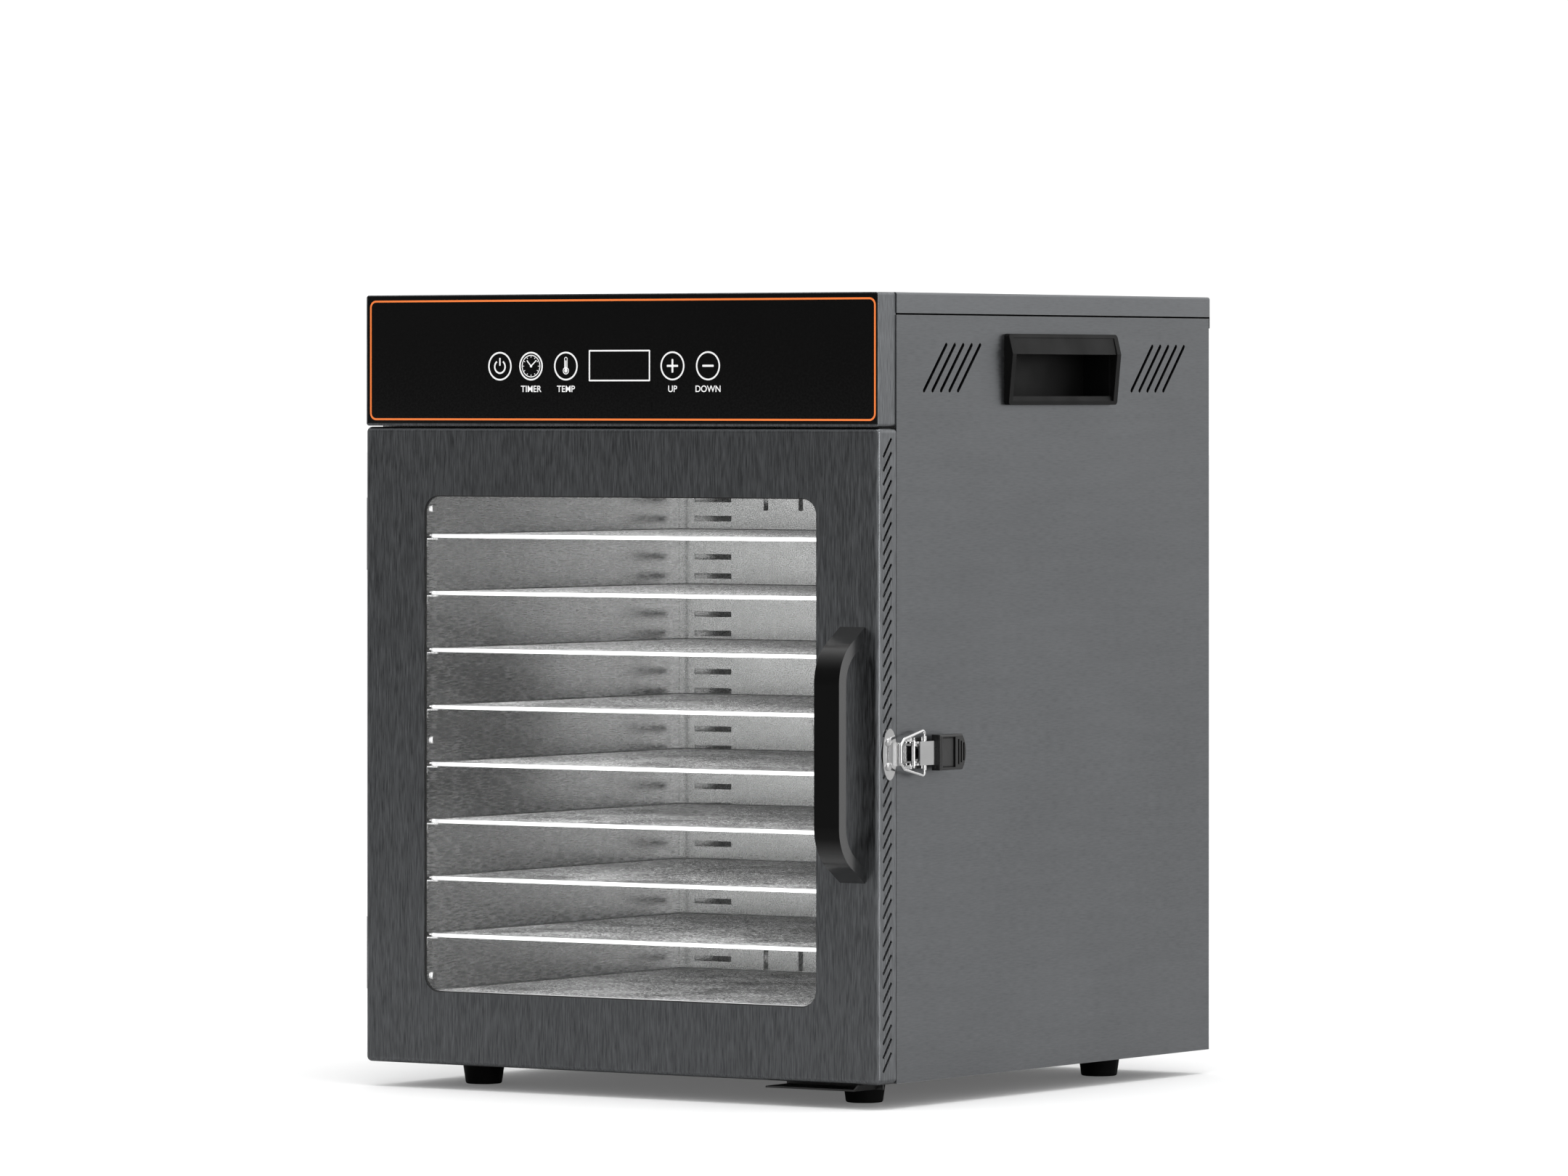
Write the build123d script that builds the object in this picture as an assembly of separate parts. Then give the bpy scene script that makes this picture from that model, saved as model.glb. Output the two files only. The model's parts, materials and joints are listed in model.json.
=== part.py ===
from build123d import *
import math
import os

# Food dehydrator: a sheet-metal cabinet with ten sliding trays, a rear fan and heater,
# a glazed door on butt hinges at the left, and a draw latch on the right side.
#
# Cabinet axes used below, in millimetres: x from the cabinet's middle, positive to the
# right, y back from the door's front face, z up from the cabinet's bottom edge.
# save() moves every piece into the part's own frame, whose origin is the middle of the
# bounding box, on the floor.

# ---- driving dimensions -------------------------------------------------------------
cabinet_width = 425.0
cabinet_depth = 425.0
cabinet_height = 530.0
sheet = 1.0
foot_height = 17.0
half_width = cabinet_width / 2

door_height = 439.2
door_back = 20.4
front_frame_y = 21.0
bend_radius = 3.6
lip_width = 9.0

window_half_width = 162.0
window_bottom = 50.0
window_top = 392.0
window_radius = 12.0
glass_overlap = 10.0
glass_thickness = 4.0
seal_thickness = 1.0

fascia_bottom = 439.8
fascia_half_width = 211.7
glass_panel_thickness = 1.4

cover_overhang = 3.0
cover_front_y = 21.2
cover_side_flange = 14.0
cover_rear_flange = 22.0
cover_gap = 1.2

liner = 0.8
chamber_half_width = 195.5
chamber_floor = 22.8
chamber_top = 432.0
chamber_back = 392.0
baffle_y = 362.0

tray_count = 10
tray_first_z = 46.5
tray_pitch = 39.6
tray_half_width = 190.0
tray_front_y = 43.5
tray_depth = 311.5
tray_rim = 3.0
tray_corner_radius = 7.0
tray_bar = 1.0
tray_bars_across = 9
tray_bars_along = 11
rail_clearance = 0.3
rail_width = 10.0

handle_x = 191.0
handle_width = 20.0
handle_bottom = 134.6
handle_top = 306.0
handle_reach = 31.5
handle_thickness = 8.6
handle_slope = 0.648
handle_bend_radius = 28.0

hinge_axis_x = -half_width - 3.5
hinge_axis_y = 21.5
hinge_pin_radius = 1.5
hinge_clearance = 0.05
hinge_knuckle_radius = 3.2
hinge_leaf = 1.5
hinge_length = 50.0
hinge_knuckle = 15.0
hinge_centres = (75.0, 365.0)

latch_z = 220.8
latch_pivot = (half_width + 4.5, 35.0)
bail_pivot = (half_width + 5.5, 46.5)
bail_bar = (half_width + 6.5, 16.4)
bail_wire = 1.1
lever_inner = 3.4
lever_sheet = 1.2
lever_half_height = 8.0
grip_reach = 12.0
grip_half_height = 12.0
grip_front_y = 56.5
grip_back_y = 89.4
grip_end_radius = 18.0

strike_width = 17.2
strike_height = 34.6
strike_centre_y = 11.1
strike_sheet = 1.2
strike_screw_offset = 8.2

carry_front_y = 155.7
carry_back_y = 296.0
carry_bottom = 454.3
carry_top = 502.8
carry_reach = 7.0
carry_edge_reach = 3.6
cup_depth = 22.0
cup_wall = 2.0
mouth_front_y = 160.5
mouth_back_y = 291.0
mouth_bottom = 456.9
mouth_top = 500.3
cup_front_y = 163.0
cup_back_y = 289.5
cup_bottom = 460.2
cup_top = 499.0
visor_bottom = 489.0

fan_z = 227.0
fan_radius = 70.0
fan_opening_radius = 75.0
fan_hub_radius = 20.0
fan_shaft_radius = 4.0
heater_radius = 92.0
heater_tube = 4.0
heater_y = 377.0

foot_x = 158.0
foot_front_y = 65.0
foot_back_y = 366.0
foot_top_radius = 15.0
foot_bottom_radius = 12.5

inlet_x = -150.0
inlet_z = 478.0

# ---- the part's own frame -------------------------------------------------------------
leftmost = -half_width - carry_reach
rightmost = half_width + grip_reach
frontmost = -handle_reach
rearmost = cabinet_depth + cover_overhang
frame_shift = (
    -(leftmost + rightmost) / 2,
    -(frontmost + rearmost) / 2,
    foot_height,
)


def save(name, *shapes):
    """Write one node: its separate solids, moved into the part's own frame."""
    solids = []
    for shape in shapes:
        solids.extend((Pos(*frame_shift) * shape).solids())
    export_step(solids[0] if len(solids) == 1 else Compound(solids), f"parts/{name}.step")


def block(xs, ys, zs):
    """A box between two values along each axis, given in either order."""
    size = [abs(high - low) for low, high in (xs, ys, zs)]
    centre = [(high + low) / 2 for low, high in (xs, ys, zs)]
    return Pos(*centre) * Box(*size)


def rod(start, end, radius):
    """A round bar from one point to another."""
    path = Line(start, end)
    return extrude(Plane(origin=start, z_dir=path % 0) * Circle(radius), path.length)


def rounded_plate(xs, ys, zs, radius):
    """A plate facing the front, with its corners rounded in the XZ plane."""
    plate = block(xs, ys, zs)
    return fillet(plate.edges().filter_by(Axis.Y), radius)


def ring_plate(outer, inner, ys, zs_outer, zs_inner):
    """A flat frame facing the front: a plate with a rectangular opening."""
    return block(outer, ys, zs_outer) - block(inner, (ys[0] - 1, ys[1] + 1), zs_inner)


def slots_through_x(x, slots, width):
    """Slanted cutters through a side wall, each from (y, z) to (y, z)."""
    cutters = []
    for (y0, z0), (y1, z1) in slots:
        length = math.hypot(y1 - y0, z1 - z0)
        angle = math.degrees(math.atan2(z1 - z0, y1 - y0))
        middle = ((y0 + y1) / 2, (z0 + z1) / 2)
        cutters.append(Pos(x, *middle) * Rot(angle, 0, 0) * Box(8, length, width))
    return cutters


def rounded_slots_through_x(x, slots, width):
    """The same cutters with round ends."""
    cutters = []
    for (y0, z0), (y1, z1) in slots:
        length = math.hypot(y1 - y0, z1 - z0)
        angle = math.degrees(math.atan2(z1 - z0, y1 - y0))
        middle = ((y0 + y1) / 2, (z0 + z1) / 2)
        plane = Plane(origin=(x, *middle), x_dir=(0, 1, 0), z_dir=(1, 0, 0))
        cutters.append(extrude(plane * Rot(0, 0, angle) * SlotOverall(length, width), 4, both=True))
    return cutters


def screw(position, direction, head_radius, head_height, shank_radius, shank_length):
    """A dome-head screw whose head sits on the surface at position, its shank going in."""
    base = Plane(origin=position, z_dir=direction)
    head = extrude(base * Circle(head_radius), head_height)
    head = fillet(head.edges().group_by(Axis(position, direction))[-1], head_height * 0.7)
    return head + extrude(base * Circle(shank_radius), -shank_length)


# ---- cabinet shell ---------------------------------------------------------------------
panel_top = cabinet_height - cover_side_flange - cover_gap
rear_panel_height = 507.5
rear_panel_y = cabinet_depth - sheet
rear_screw_zs = (30.0, 180.0, 330.0, 480.0)
rear_screw_x = 204.0
vent_rise = 33.0
vent_run = 29.5
vent_pitch = 10.6
vent_bottom = 463.0
vent_starts = (54.0, 320.0)


def side_vents(x):
    slots = []
    for start in vent_starts:
        for i in range(5):
            y = start + i * vent_pitch
            slots.append(((y, vent_bottom), (y + vent_run, vent_bottom + vent_rise)))
    return rounded_slots_through_x(x, slots, 2.8)


def side_panel(side):
    outer = side * half_width
    inner = side * (half_width - sheet)
    panel = block((inner, outer), (front_frame_y, cabinet_depth), (0, panel_top))
    flange_ys = (rear_panel_y - 2 * sheet, rear_panel_y - sheet)
    flange = block((inner, side * (half_width - 16.5)), flange_ys, (2, rear_panel_height - 2.5))
    cup_ys = (cup_front_y - cup_wall - 0.6, cup_back_y + cup_wall + 0.6)
    cup = block((side * 205, side * 220), cup_ys, (cup_bottom - 2.6, cup_top + 2.6))
    panel = panel + flange - cup
    for cutter in side_vents(outer):
        panel -= cutter
    for z in rear_screw_zs:
        panel -= rod((side * rear_screw_x, 418, z), (side * rear_screw_x, 424, z), 2.0)
    if side < 0:
        for z in hinge_screw_zs():
            panel -= rod((-215, hinge_cabinet_screw_y, z), (-205, hinge_cabinet_screw_y, z), 1.6)
    return panel


foot_places = [(x, y) for y in (foot_front_y, foot_back_y) for x in (-foot_x, foot_x)]
rest_plate_screws = (135.0, 181.0)
rest_plate_screw_y = 38.0


def base_pan():
    edge = half_width - sheet - 0.1
    pan = block((-edge, edge), (22, rear_panel_y - 0.1), (0, sheet))
    for x, y in foot_places:
        pan -= rod((x, y, -1), (x, y, 3), 2.2)
    for x in rest_plate_screws:
        pan -= rod((x, rest_plate_screw_y, -1), (x, rest_plate_screw_y, 3), 2.1)
    return pan


def front_frame():
    outer = half_width - sheet - 0.1
    frame = ring_plate(
        (-outer, outer),
        (-chamber_half_width, chamber_half_width),
        (front_frame_y, front_frame_y + sheet),
        (sheet, 440.4),
        (chamber_floor, chamber_top),
    )
    return frame


def rear_panel():
    edge = half_width - sheet - 0.1
    panel = block((-edge, edge), (rear_panel_y, cabinet_depth), (0, rear_panel_height))
    panel -= block((inlet_x - 14.2, inlet_x + 14.2), (420, 430), (inlet_z - 10.2, inlet_z + 10.2))
    for row in range(12):
        for column in range(3):
            x = (column - 1) * 44.0
            z = fan_z - 55 + row * 10.0
            panel -= block((x - 17, x + 17), (420, 430), (z - 1.6, z + 1.6))
    for side in (-1, 1):
        for z in rear_screw_zs:
            panel -= rod((side * rear_screw_x, 420, z), (side * rear_screw_x, 430, z), 2.1)
    return panel


def top_cover():
    rear = cabinet_depth + cover_overhang
    heights = (cabinet_height - cover_rear_flange, cabinet_height)
    lid = block((-half_width, half_width), (cover_front_y, rear), heights)
    lid = fillet(lid.edges().filter_by(Axis.Z).group_by(Axis.Y)[-1], 2.5)
    top_edges = lid.edges().group_by(Axis.Z)[-1]
    lid = fillet(top_edges.filter_by(lambda edge: edge.center().Y > cover_front_y + 1), 1.6)
    hollow = block(
        (-half_width + sheet, half_width - sheet),
        (cover_front_y - 1, rear - sheet),
        (cabinet_height - 60, cabinet_height - sheet),
    )
    lid -= hollow
    for side in (-1, 1):
        cut = block(
            (side * (half_width - 2 * sheet), side * (half_width + 1)),
            (cover_front_y - 1, rear - 2 * sheet),
            (cabinet_height - 60, cabinet_height - cover_side_flange),
        )
        lid -= cut
    return lid


# ---- fascia and controls ---------------------------------------------------------------
panel_left = -210.3
panel_right = 210.9


def fascia_frame():
    front = glass_panel_thickness
    heights = (fascia_bottom, cabinet_height)
    frame = block((-fascia_half_width, fascia_half_width), (0, front_frame_y), heights)
    frame = fillet(frame.edges().filter_by(Axis.Y), 2.0)
    frame = fillet(frame.edges().group_by(Axis.Y)[0], 0.8)
    frame -= block(
        (-fascia_half_width + sheet, fascia_half_width - sheet),
        (front + sheet, front_frame_y + 1),
        (fascia_bottom + sheet, cabinet_height - sheet),
    )
    glass_zs = (fascia_bottom + 1.7, cabinet_height - 0.7)
    frame -= block((panel_left - 0.1, panel_right + 0.1), (-1, front), glass_zs)
    frame -= block((-113, 92), (front - 1, front + sheet + 1), (462, 500))
    return frame


def control_glass():
    zs = (fascia_bottom + 1.8, cabinet_height - 0.8)
    glass = rounded_plate((panel_left, panel_right), (0, glass_panel_thickness), zs, 1.2)
    return fillet(glass.edges().group_by(Axis.Y)[0], 0.3)


button_xs = (-98.1, -72.0, -42.9, 45.2, 74.3)
button_z = 480.8
display_xs = (-23.8, 26.8)
display_zs = (470.4, 491.7)


def display_module():
    body_xs = (display_xs[0] - 1.5, display_xs[1] + 1.5)
    body = block(body_xs, (2.0, 8.0), (display_zs[0] - 2, display_zs[1] + 2))
    screen = block(display_xs, (glass_panel_thickness + 0.1, 2.0), display_zs)
    return body + screen


def touch_board():
    board = block((-116, 96), (8.0, 9.6), (452, 506))
    for x in button_xs:
        board += rod((x, 1.6, button_z), (x, 8.0, button_z), 7.0)
    board += block((-70, -50), (9.6, 15), (486, 494))
    return board


def power_board():
    top = chamber_top + liner
    board = block((-125, 25), (150, 300), (top + 6, top + 7.6))
    for x in (-118, 18):
        for y in (157, 293):
            board += rod((x, y, top), (x, y, top + 6), 3)
    components = [
        ((-110, -70), (230, 275), 30),
        ((-55, -35), (240, 270), 16),
        ((-25, -5), (240, 270), 16),
        ((-60, -30), (165, 190), 22),
        ((0, 18), (170, 220), 14),
    ]
    for xs, ys, height in components:
        board += block(xs, ys, (top + 7.6, top + 7.6 + height))
    board += rod((-95, 190, top + 7.6), (-95, 190, top + 33), 11)
    return board


# ---- drying chamber --------------------------------------------------------------------
chamber_xs = (-chamber_half_width, chamber_half_width)
chamber_ys = (22.0, chamber_back)


def liner_side(side):
    xs = (side * chamber_half_width, side * (chamber_half_width + liner))
    return block(xs, chamber_ys, (chamber_floor - liner, chamber_top + liner))


def liner_floor():
    return block(chamber_xs, chamber_ys, (chamber_floor - liner, chamber_floor))


probe_x = 120.0
probe_y = 358.4


def liner_top():
    top = block(chamber_xs, chamber_ys, (chamber_top, chamber_top + liner))
    return top - rod((probe_x, probe_y, chamber_top - 2), (probe_x, probe_y, chamber_top + 4), 2.2)


def liner_rear():
    edge = chamber_half_width + liner
    heights = (chamber_floor - liner, chamber_top + liner)
    rear = block((-edge, edge), (chamber_back, chamber_back + liner), heights)
    rear -= rod((0, 388, fan_z), (0, 400, fan_z), 7.0)
    for x in heater_leg_xs:
        rear -= rod((x, 388, heater_leg_z), (x, 400, heater_leg_z), heater_tube + 0.6)
    return rear


def rear_baffle():
    edge = chamber_half_width - 0.1
    heights = (chamber_floor + 0.1, chamber_top - 0.1)
    baffle = block((-edge, edge), (baffle_y, baffle_y + liner), heights)
    baffle -= rod((0, baffle_y - 2, fan_z), (0, baffle_y + 4, fan_z), fan_opening_radius)
    for side in (-1, 1):
        for row in range(28):
            z = chamber_floor + 18 + row * 13.8
            xs = (side * 150, side * 182)
            baffle -= block(xs, (baffle_y - 2, baffle_y + 4), (z - 2, z + 2))
    for column in range(9):
        x = (column - 4) * 30.0
        for z in (62.0, 392.0):
            baffle -= block((x - 2, x + 2), (baffle_y - 2, baffle_y + 4), (z - 14, z + 14))
    return baffle


tray_zs = [tray_first_z + k * tray_pitch for k in range(tray_count)]
rack_screw_zs = (57.0, 221.0, 382.0)
rack_screw_y = 57.0


def tray_rack(side):
    """The upright plate on the chamber wall and its ten rails, each a separate solid."""
    wall = side * chamber_half_width
    plate = block((wall, side * (chamber_half_width - liner)), (49, 352), (34, 420))
    for z in rack_screw_zs:
        plate -= rod((side * 190, rack_screw_y, z), (side * 198, rack_screw_y, z), 1.6)
    pieces = [plate]
    inner = side * (chamber_half_width - liner)
    for z in tray_zs:
        shelf_top = z - tray_rim / 2 - rail_clearance
        shelf = block((inner, inner - side * rail_width), (49, 350), (shelf_top - liner, shelf_top))
        turned_edge = block((inner, inner - side * liner), (49, 350), (shelf_top - 6, shelf_top))
        pieces.append(shelf + turned_edge)
    return pieces


def rack_screws():
    screws = []
    for side in (-1, 1):
        for z in rack_screw_zs:
            face = (side * (chamber_half_width - liner), rack_screw_y, z)
            screws.append(screw(face, (-side, 0, 0), 3.4, 1.6, 1.5, liner))
    return screws


def tray():
    """A square-section rim with a flat grid of bars, at the height of its middle."""
    ys = (tray_front_y, tray_front_y + tray_depth)
    zs = (-tray_rim / 2, tray_rim / 2)
    outer = block((-tray_half_width, tray_half_width), ys, zs)
    outer = fillet(outer.edges().filter_by(Axis.Z), tray_corner_radius)
    inner_edge = tray_half_width - tray_rim
    inside = block((-inner_edge, inner_edge), (ys[0] + tray_rim, ys[1] - tray_rim), (-5, 5))
    inside = fillet(inside.edges().filter_by(Axis.Z), tray_corner_radius - tray_rim)
    shape = outer - inside
    half = tray_bar / 2
    for i in range(tray_bars_along):
        x = tray_half_width * 2 * ((i + 1) / (tray_bars_along + 1) - 0.5)
        shape += block((x - half, x + half), (ys[0] + 1, ys[1] - 1), (-half, half))
    for i in range(tray_bars_across):
        y = ys[0] + tray_depth * (i + 1) / (tray_bars_across + 1)
        shape += block((-tray_half_width + 1, tray_half_width - 1), (y - half, y + half), (-half, half))
    return shape


# ---- fan, motor and heater -------------------------------------------------------------
heater_leg_xs = (-16.0, 16.0)
heater_leg_z = fan_z - math.sqrt(heater_radius ** 2 - 16.0 ** 2)


def fan_rotor():
    hub = rod((0, 368, fan_z), (0, 384, fan_z), fan_hub_radius)
    hub = fillet(hub.edges().group_by(Axis.Y)[0], 4)
    shaft = rod((0, 384, fan_z), (0, 413, fan_z), fan_shaft_radius)
    reach = fan_radius - fan_hub_radius + 2
    blade = Pos(0, 376, fan_z + fan_hub_radius - 2 + reach / 2) * Rot(0, 0, 22) * Box(32, 1.6, reach)
    trim = rod((0, 360, fan_z), (0, 390, fan_z), fan_radius)
    rotor = hub + shaft
    for i in range(5):
        turned = blade.rotate(Axis((0, 0, fan_z), (0, 1, 0)), i * 72)
        rotor += turned & trim
    return rotor


def fan_motor():
    body = block((-30, 30), (chamber_back + liner + 0.4, 418), (fan_z - 30, fan_z + 30))
    body = fillet(body.edges().filter_by(Axis.Y), 6)
    coil = block((-20, 20), (chamber_back + 4, 414), (fan_z + 30, fan_z + 46))
    motor = body + coil
    return motor - rod((0, 390, fan_z), (0, 414, fan_z), fan_shaft_radius + 0.06)


def fan_guard():
    y = baffle_y - 1.0
    guard = None
    for radius in (24.0, 42.0, 60.0, 78.0):
        loop = rod((0, y - 1, fan_z), (0, y + 1, fan_z), radius + 1)
        loop -= rod((0, y - 2, fan_z), (0, y + 2, fan_z), radius - 1)
        guard = loop if guard is None else guard + loop
    spoke = block((-1, 1), (y - 1, y + 1), (fan_z + 23.5, fan_z + 84))
    for i in range(6):
        guard += spoke.rotate(Axis((0, 0, fan_z), (0, 1, 0)), 30 + i * 60)
    return guard


def heater_element():
    """A tubular ring round the fan, open at the bottom, its two legs going through the rear."""
    gap = math.degrees(math.asin(heater_leg_xs[1] / heater_radius))
    ring_plane = Plane(origin=(0, heater_y, fan_z), x_dir=(1, 0, 0), z_dir=(0, -1, 0))
    arc = ring_plane * CenterArc((0, 0), heater_radius, -90 + gap, 360 - 2 * gap)
    element = sweep(Plane(origin=arc @ 0, z_dir=arc % 0) * Circle(heater_tube), path=arc)
    for x in heater_leg_xs:
        element += Pos(x, heater_y, heater_leg_z) * Sphere(heater_tube)
        element += rod((x, heater_y, heater_leg_z), (x, 404, heater_leg_z), heater_tube)
    return element


def heater_brackets():
    brackets = []
    for angle in (-30, 90, 210):
        x = heater_radius * math.cos(math.radians(angle))
        z = fan_z + heater_radius * math.sin(math.radians(angle))
        clip = block((x - 5, x + 5), (heater_y + heater_tube + 0.2, chamber_back), (z - 5, z + 5))
        brackets.append(clip)
    return brackets


def thermal_cutout():
    disc = rod((70, chamber_back + liner, fan_z + 80), (70, 400, fan_z + 80), 8)
    return disc + block((63, 77), (400, 402), (fan_z + 78, fan_z + 82))


def temperature_probe():
    tube = rod((probe_x, probe_y, 414), (probe_x, probe_y, chamber_top + 4), 2.0)
    return tube + rod((probe_x, probe_y, chamber_top + liner), (probe_x, probe_y, chamber_top + 6), 4.5)


# ---- power inlet and wiring ------------------------------------------------------------
inlet_half_x = 12.2
inlet_half_z = 8.2
inlet_face_y = cabinet_depth + 1.6


def power_inlet():
    """A panel inlet for a standard appliance lead: flange, recess and three blades."""
    flange_xs = (inlet_x - 25, inlet_x + 25)
    flange = rounded_plate(flange_xs, (cabinet_depth, inlet_face_y), (inlet_z - 12, inlet_z + 12), 5)
    body = block((inlet_x - 14, inlet_x + 14), (403, cabinet_depth), (inlet_z - 10, inlet_z + 10))
    recess_xs = (inlet_x - inlet_half_x, inlet_x + inlet_half_x)
    recess = block(recess_xs, (408, 430), (inlet_z - inlet_half_z, inlet_z + inlet_half_z))
    inlet = flange + body - recess
    for x, z in ((-7, -2), (0, 3), (7, -2)):
        inlet += block((inlet_x + x - 1, inlet_x + x + 1), (406, 420), (inlet_z + z - 2, inlet_z + z + 2))
    for x in (-20, 20):
        inlet -= rod((inlet_x + x, 420, inlet_z), (inlet_x + x, 430, inlet_z), 1.7)
    return inlet


def wire(points, bend, radius):
    path = FilletPolyline(*points, radius=bend)
    return sweep(Plane(origin=path @ 0, z_dir=path % 0) * Circle(radius), path=path)


def wire_harness():
    """Leads from the power board to the touch board, the inlet, the motor and the probe."""
    low = chamber_top + liner + 10.6
    high = low + 9.0
    to_touch = [(-60, 15, 490), (-60, 60, 490), (-60, 60, high), (-60, 164, high)]
    to_inlet = [(-115, 300.1, low), (-115, 340, low), (inlet_x, 360, inlet_z), (inlet_x, 402.8, inlet_z)]
    to_motor = [(-20, 270.2, low + 5), (-20, 405, low + 5), (-20, 405, 292), (0, 405, 276.4)]
    to_probe = [(10, 220.2, low), (10, 330, low), (probe_x, 340, low), (probe_x, 357, low)]
    return [
        wire(to_touch, 12, 2.5),
        wire(to_inlet, 9, 2.5),
        wire(to_motor, 10, 2.5),
        wire(to_probe, 5, 1.2),
    ]


# ---- carry handles ---------------------------------------------------------------------
def carry_handle(side):
    """A moulded grip: a faceted surround, a sloping visor to lift by, and a finger cup."""
    def profile(points, y0, y1):
        plane = Plane(origin=(0, y1, 0), x_dir=(1, 0, 0), z_dir=(0, -1, 0))
        places = [(side * (half_width + reach), z) for reach, z in points]
        return extrude(plane * make_face(Polyline(*places, close=True)), y1 - y0)

    ridge_z = carry_top - 13.6
    surround_points = [
        (0, carry_bottom), (carry_edge_reach, carry_bottom), (carry_reach, ridge_z),
        (carry_edge_reach, carry_top), (0, carry_top),
    ]
    surround = profile(surround_points, carry_front_y, carry_back_y)
    corner_cut = block((side * 200, side * 230), (carry_front_y, carry_back_y), (carry_bottom, carry_top))
    surround = surround & fillet(corner_cut.edges().filter_by(Axis.X), 2.5)
    inner = side * (half_width - cup_depth)
    cup_ys = (cup_front_y - cup_wall, cup_back_y + cup_wall)
    cup = block((inner, side * (half_width + 0.2)), cup_ys, (cup_bottom - cup_wall, cup_top + cup_wall))
    cup = fillet(cup.edges().filter_by(Axis.X), 2.5)
    hollow = block((inner + side * cup_wall, side * 225), (cup_front_y, cup_back_y), (cup_bottom, cup_top))
    hollow = fillet(hollow.edges().filter_by(Axis.X), 1.2)
    mouth_ys = (mouth_front_y, mouth_back_y)
    mouth = block((side * (half_width + 1.2), side * 225), mouth_ys, (mouth_bottom, mouth_top))
    visor_points = [
        (3.7, mouth_top + 0.5), (6.4, visor_bottom), (4.2, visor_bottom - 0.5), (1.4, mouth_top + 0.5),
    ]
    visor = profile(visor_points, mouth_front_y - 0.5, mouth_back_y + 0.5)
    sill_points = [(0, mouth_bottom - 0.5), (2.8, mouth_bottom - 0.5), (2.2, cup_bottom), (0, cup_bottom)]
    sill = profile(sill_points, mouth_front_y - 0.5, mouth_back_y + 0.5)
    return surround + cup - hollow - mouth + visor + sill


# ---- feet, door rest and cabinet screws ------------------------------------------------
def foot(x, y):
    cone = Pos(x, y, -foot_height / 2) * Cone(foot_bottom_radius, foot_top_radius, foot_height)
    cone = fillet(cone.edges().group_by(Axis.Z)[0], 1.5)
    cone -= rod((x, y, -foot_height - 1), (x, y, -foot_height + 5), 5.5)
    return cone - rod((x, y, -foot_height), (x, y, 1), 2.2)


def foot_fixing(x, y):
    bolt = screw((x, y, -foot_height + 5), (0, 0, -1), 4.2, 2.4, 2.0, 17)
    nut = rod((x, y, sheet), (x, y, sheet + 3), 4) - rod((x, y, 0), (x, y, 5), 2.05)
    return [bolt, nut]


def cabinet_screws():
    """All the cabinet's fasteners: foot bolts and nuts, rear, hinge, inlet and rest plate screws."""
    pieces = []
    for x, y in foot_places:
        pieces.extend(foot_fixing(x, y))
    for side in (-1, 1):
        for z in rear_screw_zs:
            pieces.append(screw((side * rear_screw_x, cabinet_depth, z), (0, 1, 0), 3.6, 2.0, 1.8, 6))
    for z in hinge_screw_zs():
        pieces.append(hinge_screw(hinge_cabinet_screw_y, z))
    for x in (-20, 20):
        pieces.append(screw((inlet_x + x, inlet_face_y, inlet_z), (0, 1, 0), 2.8, 1.4, 1.5, 1.2))
    for x in rest_plate_screws:
        pieces.append(screw((x, rest_plate_screw_y, -sheet * 1.2), (0, 0, -1), 3.6, 2.0, 1.8, 5))
    return pieces


def door_rest_plate():
    """A bent plate screwed under the base; its tongue reaches forward below the door's edge."""
    thick = 1.2
    drop = -5.0
    plate = block((119, 196.5), (30, 50), (-thick, 0))
    plate += block((119, 196.5), (28.8, 30), (drop, 0))
    plate += block((119, 190), (3, 30), (drop, drop + thick))
    turned = Pos(190, 0, drop + thick / 2) * Rot(0, -45, 0) * Pos(3.4, 16.5, 0) * Box(7.4, 27, thick)
    plate += turned - block((150, 250), (0, 60), (-0.6, 20))
    for x in rest_plate_screws:
        plate -= rod((x, rest_plate_screw_y, -6), (x, rest_plate_screw_y, 1), 2.1)
    return plate


# ---- door ------------------------------------------------------------------------------
door_slot_pitch = 9.34
door_slot_count = 45
door_slot_ys = (4.6, 14.8)
door_slot_rise = 12.8
door_slot_bottom = 8.5


def door_slots(side):
    slots = []
    for i in range(door_slot_count):
        z = door_slot_bottom + i * door_slot_pitch
        slots.append(((door_slot_ys[0], z), (door_slot_ys[1], z + door_slot_rise)))
    return slots_through_x(side * half_width, slots, 2.2)


def door_skin():
    """A folded pan: front sheet with the window, four flanges and their return lips."""
    pan = rounded_plate((-half_width, half_width), (0, door_back), (0, door_height), bend_radius)
    pan = fillet(pan.edges().group_by(Axis.Y)[0], bend_radius)
    inner_x = half_width - sheet
    hollow_ys = (sheet, door_back - sheet)
    hollow_zs = (sheet, door_height - sheet)
    hollow = rounded_plate((-inner_x, inner_x), hollow_ys, hollow_zs, bend_radius - sheet)
    hollow = fillet(hollow.edges().group_by(Axis.Y)[0], bend_radius - sheet)
    lip_x = half_width - lip_width
    mouth = block((-lip_x, lip_x), (sheet + 2, door_back + 5), (lip_width, door_height - lip_width))
    window_xs = (-window_half_width, window_half_width)
    window = rounded_plate(window_xs, (-2, 5), (window_bottom, window_top), window_radius)
    skin = pan - hollow - mouth - window
    cutters = door_slots(-1) + door_slots(1)
    for cutter in cutters:
        skin -= cutter
    for z in handle_screw_zs:
        skin -= rod((handle_x, -2, z), (handle_x, 3, z), 2.1)
    for z in strike_screw_zs:
        skin -= rod((205, strike_screw_y, z), (215, strike_screw_y, z), 1.7)
    for z in hinge_screw_zs():
        skin -= rod((-215, hinge_door_screw_y, z), (-205, hinge_door_screw_y, z), 1.6)
    return skin


def glass_outline(ys):
    return rounded_plate(
        (-window_half_width - glass_overlap, window_half_width + glass_overlap),
        ys,
        (window_bottom - glass_overlap, window_top + glass_overlap),
        10,
    )


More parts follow.
